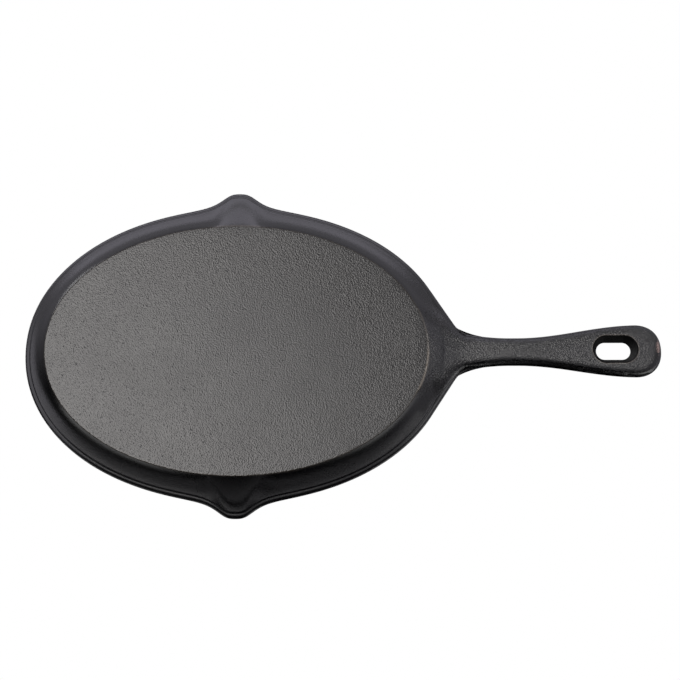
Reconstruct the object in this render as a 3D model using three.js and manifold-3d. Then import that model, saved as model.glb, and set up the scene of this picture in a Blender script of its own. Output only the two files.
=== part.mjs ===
// Oval cast-iron tortilla pan: shallow, with a rolled rim, two pouring lips and a cast-on handle.
// Millimetres, +Z up. The pan stands on z = 0 with the origin at the centre of its base.
// +X runs along the handle.
// The real pan is one casting. Here each zone of it is a solid of its own, and zones meet on shared faces.
import * as THREE from 'three';
import { mergeVertices } from 'three/addons/utils/BufferGeometryUtils.js';
import Module from 'manifold-3d';

const wasm = await Module();
wasm.setup();

// Pan
const rimHalfLength = 130;
const rimHalfWidth = 91.5;
const rimSquareness = 2.06;
const baseSquareness = 2.02;
const panHeight = 15;
const floorThickness = 4.5;

// Side wall, measured in plan from the rim edge or the base edge
const wallRunAtEnds = 14;
const wallRunAtSides = 14.4;
const wallHeelRun = 3.4;
const wallHeelHeight = 6.8;
const floorEdgeInset = 9;
const coveInset = 3.5;
const wallSteps = 5;

// Rolled bead on the rim. Its angles turn from straight inward, down and around the outside.
const beadRadius = 2.5;
const beadCreaseAngle = 30;
const beadInnerAngle = 300;
const beadSteps = 9;

// Pouring lips: reach beyond the oval, half width at half that reach, and half length of the zone
const lipReach = 10;
const lipHalfWidth = 12.5;
const lipFalloff = 3;
const lipHalfSpan = 34;

// Handle, with lengths measured from the rim's end
const handleLength = 129.3;
const handleThickness = 9.5;
const handleTopBelowRim = 0.7;
const handleDrop = 2;
const neckHalfWidth = 8.6;
const neckFromRim = 37;
const neckSideRadius = 133;
const cornerFromRim = 6.3;
const cornerReach = 4;
const widenFrom = 41;
const gripHalfWidth = 16.3;
const gripFullBeforeTip = 13.3;
const tipLength = 16;
const tipSquareness = 2.2;
const rootDepth = 6;
const rootCover = 3.5;
const rootMargin = 3;
const partingDepth = 0.2;

// Gusset under the handle's root, where the wall fills out until it is level with the handle's underside
const gussetRun = 10;
const gussetHeight = 4.8;
const gussetHalfWidth = 34;

// Lines along the handle's edge, from its top to its underside. Each has its inset from the outline, its
// depth below the top as a share of the thickness, the same where the handle meets the pan, and how much of
// the root's flare it follows. The line without an inset is where the mould parted.
const handleEdge = [
  { inset: 2.4, depth: 0, depthAtPan: 0, spread: 1 },
  { inset: 0.7, depth: 0.07, depthAtPan: 0.07, spread: 1 },
  { inset: 0, depth: partingDepth, depthAtPan: partingDepth, spread: 1 },
  { inset: 0.5, depth: 0.36, depthAtPan: 0.36, spread: 1 },
  { inset: 1.6, depth: 0.77, depthAtPan: 0.45, spread: 0.85 },
  { inset: 2.9, depth: 0.93, depthAtPan: 0.75, spread: 0.45 },
  { inset: 5.2, depth: 1, depthAtPan: 1, spread: 0 },
];

// Hanging slot: waist where the mould parted, and wider mouths on both faces
const slotFromTip = 28.3;
const gripBeforeSlot = 26;
const slotWaistLength = 21;
const slotWaistWidth = 10.5;
const slotUnderFlare = 2.6;
const slotTopFlare = 1.2;
const slotArcSteps = 8;

// Sections along the handle, and limits of the working
const flankSections = 3;
const cornerSections = 4;
const rootSections = 5;
const shankSections = 6;
const gripSections = 6;
const tipSections = 7;
const searchRounds = 50;
const searchStep = 0.001;
const mergeDistance = 1e-5;

// Sizes that follow from the ones above
const baseHalfLength = rimHalfLength - wallRunAtEnds;
const baseHalfWidth = rimHalfWidth - wallRunAtSides;
const beadHeight = panHeight - beadRadius;
const handleTop = panHeight - handleTopBelowRim;
const neckX = rimHalfLength + neckFromRim;
const tipX = rimHalfLength + handleLength;
const slotX = tipX - slotFromTip;
const gripX = slotX - gripBeforeSlot;
const degree = Math.PI / 180;

const smooth = (from, to, x) => THREE.MathUtils.smoothstep(x, from, to);
const mix = THREE.MathUtils.lerp;
const spaced = (from, to, steps) => Array.from({ length: steps + 1 }, (_, k) => mix(from, to, k / steps));
const plan = (ring) => ring.map((p) => new THREE.Vector2(p.x, p.y));

// A point of an oval whose corners are fuller than an ellipse's when squareness is over 2.
function oval(angle, halfLength, halfWidth, squareness) {
  const c = Math.cos(angle);
  const s = Math.sin(angle);
  const x = Math.sign(c) * halfLength * Math.abs(c) ** (2 / squareness);
  const y = Math.sign(s) * halfWidth * Math.abs(s) ** (2 / squareness);
  return new THREE.Vector2(x, y);
}

function rimPoint(angle) {
  const point = oval(angle, rimHalfLength, rimHalfWidth, rimSquareness);
  const lip = lipReach / (1 + Math.abs(point.x / lipHalfWidth) ** lipFalloff);
  point.y += Math.sign(point.y) * lip;
  return point;
}

function basePoint(angle) {
  return oval(angle, baseHalfLength, baseHalfWidth, baseSquareness);
}

// The angle at which the rim passes a given distance from the pan's long or short axis.
const angleAtWidth = (y) => Math.asin((y / rimHalfWidth) ** (rimSquareness / 2));
const angleAtLength = (x) => Math.acos((x / rimHalfLength) ** (rimSquareness / 2));

// The neck's sides are long arcs, closest to each other at neckX.
function neckSide(x) {
  const reach = Math.max(neckX - x, 0);
  return neckHalfWidth + neckSideRadius - Math.sqrt(neckSideRadius ** 2 - reach ** 2);
}

// A flank runs from the neck's corner to the rim and touches the rim's oval there.
const cornerX = rimHalfLength + cornerFromRim;
const corner = new THREE.Vector2(cornerX, neckSide(cornerX));
function findTouch() {
  let low = 0;
  let high = Math.PI / 2;
  for (let round = 0; round < searchRounds; round += 1) {
    const middle = (low + high) / 2;
    const point = oval(middle, rimHalfLength, rimHalfWidth, rimSquareness);
    const step = oval(middle + searchStep, rimHalfLength, rimHalfWidth, rimSquareness).sub(point);
    const cornerIsOutside = corner.clone().sub(point).cross(step) > 0;
    if (cornerIsOutside) low = middle;
    else high = middle;
  }
  return oval(low, rimHalfLength, rimHalfWidth, rimSquareness);
}
const touch = findTouch();

// Zones around the pan, counted anticlockwise from above. Left and right are as seen from the handle.
const rootAngle = angleAtWidth(touch.y + rootMargin);
const lipAngle = angleAtLength(lipHalfSpan);
const fullTurn = 2 * Math.PI;
const zones = {
  handleRoot: { from: -rootAngle, to: rootAngle, steps: 12 },
  handleRight: { from: rootAngle, to: lipAngle, steps: 10 },
  lipRight: { from: lipAngle, to: Math.PI - lipAngle, steps: 16 },
  farRight: { from: Math.PI - lipAngle, to: Math.PI, steps: 14 },
  farLeft: { from: Math.PI, to: Math.PI + lipAngle, steps: 14 },
  lipLeft: { from: Math.PI + lipAngle, to: fullTurn - lipAngle, steps: 16 },
  handleLeft: { from: fullTurn - lipAngle, to: fullTurn - rootAngle, steps: 10 },
};

const anglesOf = (zone) => spaced(zone.from, zone.to, zone.steps);

// How far the wall has become the handle's gusset: 1 on the handle's middle line, 0 away from the handle.
function gussetShare(angle) {
  const rim = rimPoint(angle);
  return rim.x > 0 ? 1 - smooth(0, gussetHalfWidth, Math.abs(rim.y)) : 0;
}

// Upright sections of the pan: x is the distance inward from the rim edge, y is the height.
function sectionsAt(angle) {
  const run = rimPoint(angle).distanceTo(basePoint(angle));
  const beadPoint = (turn) => {
    const x = beadRadius + beadRadius * Math.cos(turn * degree);
    return new THREE.Vector2(x, beadHeight - beadRadius * Math.sin(turn * degree));
  };
  const bead = spaced(beadInnerAngle, beadCreaseAngle, beadSteps).map(beadPoint);
  const baseEdge = new THREE.Vector2(run, 0);
  const plainHeel = new THREE.Vector2(run - wallHeelRun, wallHeelHeight);
  const gussetHeel = new THREE.Vector2(run - gussetRun, gussetHeight);
  const heel = plainHeel.lerp(gussetHeel, gussetShare(angle));
  const floorEdge = new THREE.Vector2(run + floorEdgeInset, floorThickness);
  const cove = new THREE.Vector2(run + coveInset, floorThickness);
  const outside = new THREE.QuadraticBezierCurve(baseEdge, heel, bead[beadSteps]).getPoints(wallSteps);
  const inside = new THREE.QuadraticBezierCurve(bead[0], cove, floorEdge).getPoints(wallSteps);
  const aroundBead = bead.slice(1, -1).reverse();
  return { wall: [...outside, ...inside], bead, whole: [...outside, ...aroundBead, ...inside] };
}

// Stands a section up at its place on the rim.
function stand(section, angle) {
  const rim = rimPoint(angle);
  const inward = basePoint(angle).sub(rim).normalize();
  return section.map((p) => new THREE.Vector3(rim.x + inward.x * p.x, rim.y + inward.y * p.x, p.y));
}

// Joins closed rings of points into one closed body. Each end is closed by its flat outline. A last ring that
// has shrunk to a line has no outline.
function loft(rings, firstOutline, lastOutline) {
  const count = rings[0].length;
  const triangles = [];
  for (let ring = 0; ring + 1 < rings.length; ring += 1) {
    for (let k = 0; k < count; k += 1) {
      const next = (k + 1) % count;
      const [a, b] = [ring * count + k, ring * count + next];
      const [c, d] = [b + count, a + count];
      triangles.push([a, b, c], [a, c, d]);
    }
  }
  // An outline's triangles all turn the same way, whichever way the outline itself runs.
  const addEnd = (outline, start, backward) => {
    const turned = THREE.ShapeUtils.isClockWise(outline) !== backward;
    for (const [a, b, c] of THREE.ShapeUtils.triangulateShape(outline, [])) {
      triangles.push(turned ? [start + c, start + b, start + a] : [start + a, start + b, start + c]);
    }
  };
  addEnd(firstOutline, 0, true);
  if (lastOutline) addEnd(lastOutline, (rings.length - 1) * count, false);
  return closedBody(rings.flat(), triangles);
}

// Merges shared points, drops triangles that shrank to a line and turns the faces outward.
function closedBody(points, triangles) {
  const geometry = new THREE.BufferGeometry().setFromPoints(points);
  geometry.setIndex(triangles.flat());
  const merged = mergeVertices(geometry, mergeDistance);
  const place = merged.getAttribute('position');
  const index = [...merged.getIndex().array];
  const corner = (k) => new THREE.Vector3().fromBufferAttribute(place, k);
  const kept = [];
  let volume = 0;
  for (let k = 0; k < index.length; k += 3) {
    const [a, b, c] = index.slice(k, k + 3);
    if (a === b || b === c || c === a) continue;
    kept.push([a, b, c]);
    volume += corner(a).dot(corner(b).cross(corner(c)));
  }
  merged.setIndex(kept.flatMap(([a, b, c]) => (volume > 0 ? [a, b, c] : [c, b, a])));
  return merged;
}

function toSolid(geometry) {
  return new wasm.Manifold(new wasm.Mesh({
    numProp: 3,
    vertProperties: new Float32Array(geometry.getAttribute('position').array),
    triVerts: new Uint32Array(geometry.getIndex().array),
  }));
}

function fromSolid(solid) {
  const mesh = solid.getMesh();
  const geometry = new THREE.BufferGeometry();
  geometry.setAttribute('position', new THREE.BufferAttribute(mesh.vertProperties, 3));
  geometry.setIndex(new THREE.BufferAttribute(mesh.triVerts, 1));
  return geometry;
}

// One zone of the wall or the bead, or of both together.
function ringZone(zone, part) {
  const angles = anglesOf(zone);
  const outlines = angles.map((angle) => sectionsAt(angle)[part]);
  const rings = outlines.map((outline, k) => stand(outline, angles[k]));
  return loft(rings, outlines[0], outlines.at(-1));
}

// The floor is the oval inside the wall's floor edge, widened below to the base edge.
function basePlate() {
  const angles = Object.values(zones).flatMap((zone) => anglesOf(zone).slice(0, -1));
  const edges = angles.map((angle) => {
    const outline = sectionsAt(angle).wall;
    return stand([outline.at(-1), outline[0]], angle);
  });
  const rings = [0, 1].map((side) => edges.map((edge) => edge[side]));
  return loft(rings, plan(rings[0]), plan(rings[1]));
}

const flankSide = (x) => mix(corner.y, touch.y, (corner.x - x) / (corner.x - touch.x));

// Half width of the handle's outline before its round tip: flank, soft corner, neck and widening grip.
function outlineHalfWidth(x) {
  const from = corner.x - cornerReach;
  const to = corner.x + cornerReach;
  if (x < from) return flankSide(x);
  if (x < to) {
    const along = (x - from) / (to - from);
    const onFlank = mix(flankSide(from), corner.y, along);
    const onNeck = mix(corner.y, neckSide(to), along);
    return mix(onFlank, onNeck, along);
  }
  const start = rimHalfLength + widenFrom;
  const share = THREE.MathUtils.clamp((x - start) / (tipX - gripFullBeforeTip - start), 0, 1);
  const widening = (1 - Math.cos(Math.PI * share)) / 2;
  return neckSide(x) + (gripHalfWidth - neckHalfWidth) * widening;
}

const dropAt = (x) => handleDrop * smooth(neckX, tipX, x);

// A closed ring across the handle, from one half of its edge. Around the tip, turn goes from 0 to a right
// angle and each line follows a smaller copy of the tip's outline.
function handleRing(x, outline = outlineHalfWidth(x), turn = 0) {
  const flare = outline - neckHalfWidth;
  const forward = Math.sin(turn) ** (2 / tipSquareness);
  const sideways = turn < Math.PI / 2 ? Math.cos(turn) ** (2 / tipSquareness) : 0;
  const half = handleEdge.map((line) => {
    const followed = x < neckX ? flare * line.spread : flare;
    const halfWidth = neckHalfWidth - line.inset + followed;
    const reach = x + (tipLength - line.inset) * forward;
    const height = handleTop - line.depth * handleThickness - dropAt(reach);
    return new THREE.Vector3(reach, halfWidth * sideways, height);
  });
  const mirrored = half.map((p) => new THREE.Vector3(p.x, -p.y, p.z)).reverse();
  return [...half, ...mirrored];
}

const acrossHandle = (ring) => ring.map((p) => new THREE.Vector2(p.y, p.z));

const rimWidthAt = (x) => rimHalfWidth * (1 - (x / rimHalfLength) ** rimSquareness) ** (1 / rimSquareness);

// Where the handle leaves the pan, its lines run from the bead and the wall down to its own heights.
function rootRing(x) {
  const from = rimHalfLength - rootDepth;
  const share = smooth(from, neckX, x);
  const covered = smooth(from, rimHalfLength - rootCover, x);
  const ring = handleRing(x, mix(rimWidthAt(from), outlineHalfWidth(x), covered));
  const topHere = mix(beadHeight, handleTop, covered);
  const atPan = handleEdge.map((line) => mix(topHere, gussetHeight, line.depthAtPan));
  const heights = [...atPan, ...atPan.toReversed()];
  return ring.map((p, k) => new THREE.Vector3(p.x, p.y, mix(heights[k], p.z, share)));
}

function handleRoot() {
  const from = rimHalfLength - rootDepth;
  const cover = rimHalfLength - rootCover;
  const cornerStart = corner.x - cornerReach;
  const cornerEnd = corner.x + cornerReach;
  const places = [
    from,
    ...spaced(cover, cornerStart, flankSections).slice(0, -1),
    ...spaced(cornerStart, cornerEnd, cornerSections).slice(0, -1),
    ...spaced(cornerEnd, neckX, rootSections),
  ];
  const rings = places.map((x) => rootRing(x));
  const gusset = loft(rings, acrossHandle(rings[0]), acrossHandle(rings.at(-1)));
  return fromSolid(toSolid(ringZone(zones.handleRoot, 'whole')).add(toSolid(gusset)));
}

function handleShank() {
  const rings = spaced(neckX, gripX, shankSections).map((x) => handleRing(x));
  return loft(rings, acrossHandle(rings[0]), acrossHandle(rings.at(-1)));
}

// A slot-shaped ring: two half circles joined by straight sides.
function slotRing(length, width, height) {
  const radius = width / 2;
  const points = [];
  for (const side of [1, -1]) {
    for (let k = 0; k <= slotArcSteps; k += 1) {
      const turn = (side * Math.PI) / 2 - (Math.PI * k) / slotArcSteps;
      const x = slotX + side * (length / 2 - radius) + radius * Math.cos(turn);
      points.push(new THREE.Vector3(x, radius * Math.sin(turn), height));
    }
  }
  return points;
}

// The cutter goes on as far again beyond both faces, at the same slope.
function slotCutter() {
  const waistHeight = handleTop - handleThickness * partingDepth - dropAt(slotX);
  const above = handleTop - waistHeight;
  const below = handleThickness * (1 - partingDepth);
  const ringAt = (flare, height) => {
    return slotRing(slotWaistLength + 2 * flare, slotWaistWidth + 2 * flare, height);
  };
  const rings = [
    ringAt(2 * slotTopFlare, waistHeight + 2 * above),
    ringAt(0, waistHeight),
    ringAt(2 * slotUnderFlare, waistHeight - 2 * below),
  ];
  return loft(rings, plan(rings[0]), plan(rings[2]));
}

function handleGrip() {
  const tipStart = tipX - tipLength;
  const straight = spaced(gripX, tipStart, gripSections).map((x) => handleRing(x));
  const turns = spaced(0, Math.PI / 2, tipSections).slice(1);
  const round = turns.map((turn) => handleRing(tipStart, outlineHalfWidth(tipStart), turn));
  const rings = [...straight, ...round];
  const grip = loft(rings, acrossHandle(rings[0]), null);
  return fromSolid(toSolid(grip).subtract(toSolid(slotCutter())));
}

const pan = new THREE.Group();

function addPiece(name, geometry, colour) {
  geometry.computeVertexNormals();
  const material = new THREE.MeshStandardMaterial({ color: colour, roughness: 0.55, metalness: 0.3 });
  const mesh = new THREE.Mesh(geometry, material);
  mesh.name = name;
  pan.add(mesh);
}

const seasonedIron = '#3c3b39';
const darkIron = '#2b2a2b';

addPiece('base_plate', basePlate(), seasonedIron);
addPiece('wall_far_left', ringZone(zones.farLeft, 'wall'), darkIron);
addPiece('wall_far_right', ringZone(zones.farRight, 'wall'), darkIron);
addPiece('wall_handle_left', ringZone(zones.handleLeft, 'wall'), darkIron);
addPiece('wall_handle_right', ringZone(zones.handleRight, 'wall'), darkIron);
addPiece('rim_far_left', ringZone(zones.farLeft, 'bead'), darkIron);
addPiece('rim_far_right', ringZone(zones.farRight, 'bead'), darkIron);
addPiece('rim_handle_left', ringZone(zones.handleLeft, 'bead'), darkIron);
addPiece('rim_handle_right', ringZone(zones.handleRight, 'bead'), darkIron);
addPiece('pour_lip_left', ringZone(zones.lipLeft, 'whole'), darkIron);
addPiece('pour_lip_right', ringZone(zones.lipRight, 'whole'), darkIron);
addPiece('handle_root', handleRoot(), darkIron);
addPiece('handle_shank', handleShank(), darkIron);
addPiece('handle_grip', handleGrip(), darkIron);

export default pan;
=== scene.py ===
import math
import bmesh
import bpy
import numpy as np
from mathutils import Matrix, Vector


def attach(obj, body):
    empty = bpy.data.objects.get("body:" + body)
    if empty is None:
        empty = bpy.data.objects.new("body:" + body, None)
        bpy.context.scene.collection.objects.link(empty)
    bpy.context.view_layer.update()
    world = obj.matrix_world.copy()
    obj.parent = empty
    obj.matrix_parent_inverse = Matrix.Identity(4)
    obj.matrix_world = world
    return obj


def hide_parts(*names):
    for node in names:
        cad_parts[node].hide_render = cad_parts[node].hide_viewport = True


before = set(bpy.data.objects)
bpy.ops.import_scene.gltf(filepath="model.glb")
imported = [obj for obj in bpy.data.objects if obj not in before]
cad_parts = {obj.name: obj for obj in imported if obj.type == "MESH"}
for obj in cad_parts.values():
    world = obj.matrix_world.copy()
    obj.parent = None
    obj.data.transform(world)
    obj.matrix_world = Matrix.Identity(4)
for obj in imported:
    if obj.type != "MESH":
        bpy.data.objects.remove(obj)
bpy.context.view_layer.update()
print("frame loaded:", len(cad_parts), "nodes")

mm = 0.001
tiny = 1e-9  # keeps divisions off zero

# Sizes in millimetres: the pan stands on z = 0, +X runs along the handle. Plan and main heights are the
# part's own. The wall's heel, the bead and handle from below and the slot's place were fitted to the photo.
# A pair is a stretch over which something fades in, from none to full.
pan = {
    "rimHalfLength": 130.0, "rimHalfWidth": 91.5, "rimSquareness": 2.06,
    "baseHalfLength": 116.0, "baseHalfWidth": 77.1, "baseSquareness": 2.02,
    "partingHeight": 12.5, "beadRadius": 2.5, "floorTop": 4.5,
    "underBeadRadius": 3.2, "underBeadDepth": 2.8,  # below the parting line the bead is half an ellipse
    "beadEndSlope": 4.0, "rimEndSlope": 8.0,  # how steeply the bead's two halves leave past their ends
    "heelRun": 3.4, "heelHeight": 6.2,  # bend of the wall outside, above the base edge
    "coveInset": 3.5, "floorEdgeInset": 9.0,  # bend of the wall inside, and where the floor starts
    "creaseTurn": 88.0, "innerTurn": 120.0,  # degrees round the bead, from its outer edge
    "stepRise": 0.7, "stepSlope": 1.7,  # the wall stands a step below the bead's underside
    "lipReach": 10.0, "lipHalfWidth": 12.5, "lipFalloff": 3.0,
    "straightLip": (0.0, 0.8), "straightY": (40.0, 70.0),  # where the wall under a lip is pulled straight
    "creaseFillet": 0.5, "baseEdgeRound": 0.5,
}
handle = {
    "tipX": 259.3, "tipLength": 16.0, "tipSquareness": 2.2,
    "neckX": 167.0, "neckHalfWidth": 8.6, "neckSideRadius": 133.0,
    "cornerX": 136.3, "cornerReach": 4.0,
    "widenFromX": 171.0, "gripFullX": 246.0, "gripHalfWidth": 16.3,
    "top": 14.3, "underside": 4.8, "parting": 12.4, "drop": 2.0,
    "partingX": (118.0, 140.0),  # the parting line moves from the rim's height to the handle's
    "edgeRound": 2.4, "lipRadius": 0.9,  # rounded top edge, and the bead's last trace along the sides
    "beadFadesX": (118.0, 150.0),  # the bead shrinks to that trace
    "gussetRun": 10.0, "gussetHeight": 2.4, "gussetHalfWidth": 34.0, "gussetX": (60.0, 90.0),
    "flareFollowed": 0.85, "followedFromX": 140.0,  # how much of the root's flare the underside has
    "sideInset": 1.1, "byOutlineX": (180.0, 205.0),
    "spineStartX": 100.0, "outsideLimit": 3.0, "outsideSlope": 3.0,  # past its sides it climbs away
    "rampToX": 130.0, "spineRamp": 0.04, "rampY": (12.0, 28.0),  # and so it does beside the root
    "plainFillet": 0.3, "rootFillet": 4.0, "filletX": (110.0, 124.0), "filletEndX": (150.0, 160.0),
    "rootFromX": 112.0, "waistX": 140.0, "bellyToX": 172.0,  # the root rises off the base to a thin waist,
    "rootSag": 4.0, "waistRise": 1.7,  # and a slight belly leads to the even grip
    "crownX": [116, 130, 150, 175, 195, 215, 240],  # how full the rounded underside is, along the handle
    "crownFullness": [2.2, 3.0, 4.2, 4.5, 4.6, 5.2, 5.6],
    "topSinks": 0.4, "topSinksFrom": 1.5, "topFillet": 0.8,  # inside the rim the top dives under the bead
}
slot = {
    "x": 230.0, "straightHalf": 5.25, "radius": 5.25,
    "underFlare": 2.6, "topFlare": 1.2, "mouthRound": 0.8,
    "mouthTurns": [25.0, 50.0, 75.0, 90.0],  # degrees round the mouth's edge, a ring at each
    "wallRings": 8,
}
meshing = {
    "patchSide": 130,  # the floors are square grids with this many faces a side
    "flankFaces": 40, "angleSteps": 6000,
    "lipCrowding": 1.4, "lipCrowdingWidth": 10.0,  # more columns at a lip, and degrees to each side
    "neckCutX": 150.0, "gripCutX": 209.0, "stripFaces": 48, "tipFaces": 124,
    "edgeRows": [0.0, 0.05, 0.2, 0.45, 0.8, 1.25, 1.8, 2.5, 3.4, 4.5],  # mm in from the handle's outline
    "edgeSpan": 2.5,  # columns shorter than this many times that squeeze them
    "middleFaces": 20, "apronRows": 14, "gripRows": 16,
    "beadRows": 14, "wallRows": 20, "topBeadRows": 12, "coveRows": 23,
    "baseEdgeRows": [0.25, 0.6, 1.1, 1.9, 3.2], "floorEdgeRow": 1.5,  # mm inside the floors' edges
    "touchHalvings": 50, "touchStep": 0.0001,
    "sidePoints": 900, "tipPoints": 160,  # points of the outline's chain
    "rimPoints": 60, "rimReach": 0.5, "tipPast": 0.5,  # and how far the chain for distances runs past it
    "chunk": 4000,  # points measured at a time
    "trueFrom": 0.85,  # share of the touching angle up to which distances are the true ones
    "farInside": 200.0, "farOutside": -50.0,  # insets that leave the wall out
    "weldSteps": 10000.0,  # points on the same step of a millimetre become one
}
# Slow waves of a sand mould: each has a length over 2 pi, two sway along the other axis and two are shifted.
mould = {
    "height": 0.012,
    "lengthX": 9.1, "swayX": 0.7, "swayLengthX": 13.0,
    "lengthY": 7.3, "shiftY": 1.3, "swayY": 0.9, "swayLengthY": 17.0,
    "lengthDiagonal": 5.9, "shiftDiagonal": 2.1,
    "lengthSlanted": 11.7, "slant": 1.4,
}
# Where the casting was ground, rubbed and worn, with a painted highlight on the base edge and round the
# slot's mouth. Grain is a share of the sand's grain on the base.
finish = {
    "groundEdge": (-0.4, 0.5), "floorEdge": (5.0, 10.0),  # in from the base edge, below and above
    # A lighter line along the base edge: wear, and a painted highlight of its rounded edge.
    "edgeWearAndHighlight": 0.3, "edgeWearAndHighlightWidth": 0.55,
    "brightEdgeX": (95.0, 110.0), "brightEdgeY": 14.0, "brightEdgeEnds": (10.0, 18.0),  # where the base edge's painted highlight is strongest
    "wallGrain": 0.3, "rimGrain": 0.35, "rimInset": (2.0, 5.0), "apronInset": (1.5, 4.0),
    "sideGrain": 0.45, "sideInset": (1.0, 3.0),
    "grainUnder": 2.2, "grainTop": 1.2, "rootGrainTop": 1.0,  # handle and its root
    "rootX": (95.0, 118.0), "rootY": (18.0, 36.0),
    # A painted highlight round the slot's mouth.
    "mouthHighlight": 0.5, "mouthHighlightWidth": 0.5, "slotGrain": 0.5,
    "bareX": 255.9, "bareY": -1.0, "bareHalfWidth": 1.5, "bareHalfLength": 4.5,  # rubbed spot inside the tip
}
crossFaces = 2 * (len(meshing["edgeRows"]) - 1) + meshing["middleFaces"]


# Smooth step from 0 at low to 1 at high: 3 t^2 - 2 t^3.
def ease(low, high, value):
    share = np.clip((value - low) / (high - low), 0.0, 1.0)
    return share * share * (3.0 - 2.0 * share)


# Straight blend, first at share 0 and second at share 1.
def mix(first, second, share):
    return first + (second - first) * share


# The lower of two heights, rounded by near^2 / (4 reach) where they are closer than reach.
def softMin(first, second, reach):
    near = np.maximum(reach - np.abs(first - second), 0.0)
    return np.minimum(first, second) - near * near / (4.0 * np.maximum(reach, tiny))


# The higher of two heights, rounded the same way.
def softMax(first, second, reach):
    return -softMin(-first, -second, reach)


# Share of a rounding: none on the outline, which stays where it is, and full a millimetre inside it.
def offOutline(inset):
    return np.clip(inset, 0.0, 1.0)


# Oval: cosine and sine to the power 2 / squareness, so 2 is an ellipse and more is fuller.
def oval(angle, halfLength, halfWidth, squareness):
    c, s = np.cos(angle), np.sin(angle)
    x = np.sign(c) * halfLength * np.abs(c) ** (2.0 / squareness)
    y = np.sign(s) * halfWidth * np.abs(s) ** (2.0 / squareness)
    return np.stack([x, y], axis=-1)


# The rim's oval, without its lips.
def plainRim(angle):
    return oval(angle, pan["rimHalfLength"], pan["rimHalfWidth"], pan["rimSquareness"])


# What a lip's reach is divided by: 1 in its middle, then 1 + |x / halfWidth| ^ falloff.
def lipSpread(x):
    return 1.0 + np.abs(x / pan["lipHalfWidth"]) ** pan["lipFalloff"]


# The rim is the oval, pushed out by reach / lipSpread at the two lips.
def rimLine(angle):
    point = plainRim(angle)
    point[..., 1] += np.sign(point[..., 1]) * pan["lipReach"] / lipSpread(point[..., 0])
    return point


# Edge of the base, an oval too.
def baseLine(angle):
    return oval(angle, pan["baseHalfLength"], pan["baseHalfWidth"], pan["baseSquareness"])


# Side of the neck: a long arc, half width + radius - sqrt(radius^2 - reach^2), narrowest at neckX.
def neckSide(x):
    reach = np.maximum(handle["neckX"] - x, 0.0)
    radius = handle["neckSideRadius"]
    return handle["neckHalfWidth"] + radius - np.sqrt(radius ** 2 - reach ** 2)


# The flank is the line from the neck's corner that touches the rim's oval. Halving finds where.
def findTouch():
    corner = np.array([handle["cornerX"], neckSide(handle["cornerX"])])
    low, high = 0.0, math.pi / 2
    for _ in range(meshing["touchHalvings"]):
        middle = (low + high) / 2
        point = plainRim(np.array(middle))
        step = plainRim(np.array(middle + meshing["touchStep"])) - point
        reach = corner - point
        if reach[0] * step[1] - reach[1] * step[0] > 0:
            low = middle
        else:
            high = middle
    return low, plainRim(np.array(low)), corner


touchAngle, touchPoint, cornerPoint = findTouch()


# Half width on that flank, a straight line from the corner back to the touching point.
def flankSide(x):
    slope = (touchPoint[1] - cornerPoint[1]) / (cornerPoint[0] - touchPoint[0])
    return cornerPoint[1] + slope * (cornerPoint[0] - np.maximum(x, touchPoint[0]))


# Half width along the handle: flank, a soft corner (quadratic curve), neck, then a cosine swell to the grip.
def handleHalf(x):
    start = handle["cornerX"] - handle["cornerReach"]
    end = handle["cornerX"] + handle["cornerReach"]
    share = np.clip((x - start) / (end - start), 0.0, 1.0)
    onFlank = mix(flankSide(start), cornerPoint[1], share)
    onNeck = mix(cornerPoint[1], neckSide(end), share)
    softCorner = mix(onFlank, onNeck, share)
    swell = np.clip((x - handle["widenFromX"]) / (handle["gripFullX"] - handle["widenFromX"]), 0.0, 1.0)
    grip = (handle["gripHalfWidth"] - handle["neckHalfWidth"]) * (1.0 - np.cos(np.pi * swell)) / 2.0
    beyond = neckSide(np.maximum(x, end)) + grip
    return np.where(x < start, flankSide(x), np.where(x < end, softCorner, beyond))


# One side of the handle's outline as a fine chain of points: half widths from the rim on, then a quarter oval
# to the middle of the tip.
def handleOutline():
    tipStart = handle["tipX"] - handle["tipLength"]
    x = np.linspace(touchPoint[0], tipStart, meshing["sidePoints"])
    side = np.stack([x, handleHalf(x)], axis=-1)
    turn = np.linspace(0.0, np.pi / 2, meshing["tipPoints"])[1:]
    power = 2.0 / handle["tipSquareness"]
    tipX = tipStart + handle["tipLength"] * np.sin(turn) ** power
    tipY = side[-1, 1] * np.clip(np.cos(turn), 0.0, 1.0) ** power
    tipY[-1] = 0.0
    return np.concatenate([side, np.stack([tipX, tipY], axis=-1)])


outline = handleOutline()
outlineLength = np.concatenate([[0.0], np.cumsum(np.linalg.norm(np.diff(outline, axis=0), axis=1))])


# Points at given lengths along that chain.
def alongOutline(length):
    return np.stack([np.interp(length, outlineLength, outline[:, k]) for k in (0, 1)], axis=-1)


# Length along that chain where it passes x, before the tip.
def lengthAt(x):
    count = meshing["sidePoints"]
    return np.interp(x, outline[:count, 0], outlineLength[:count])


# Shortest distance from plan points to the outline: the least over all its straight pieces.
def distanceToOutline(points):
    beforeIt = np.linspace(touchAngle + meshing["rimReach"], touchAngle, meshing["rimPoints"])
    afterIt = [[handle["tipX"], 0.0], [handle["tipX"], -meshing["tipPast"]]]
    chain = np.concatenate([rimLine(beforeIt)[:-1], outline[::2], afterIt])
    start, step = chain[:-1], np.diff(chain, axis=0)
    size = np.maximum((step ** 2).sum(axis=1), tiny)
    folded = np.stack([points[..., 0], np.abs(points[..., 1])], axis=-1).reshape(-1, 2)
    result = []
    for chunk in np.array_split(folded, max(1, len(folded) // meshing["chunk"])):
        reach = chunk[:, None, :] - start[None]
        share = np.clip((reach * step).sum(axis=2) / size, 0.0, 1.0)
        result.append(np.linalg.norm(reach - share[..., None] * step, axis=2).min(axis=1))
    return np.concatenate(result).reshape(points.shape[:-1])


# How far the handle has sunk at x: an eased drop from the neck to the tip.
def dropAt(x):
    return handle["drop"] * ease(handle["neckX"], handle["tipX"], x)


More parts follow.
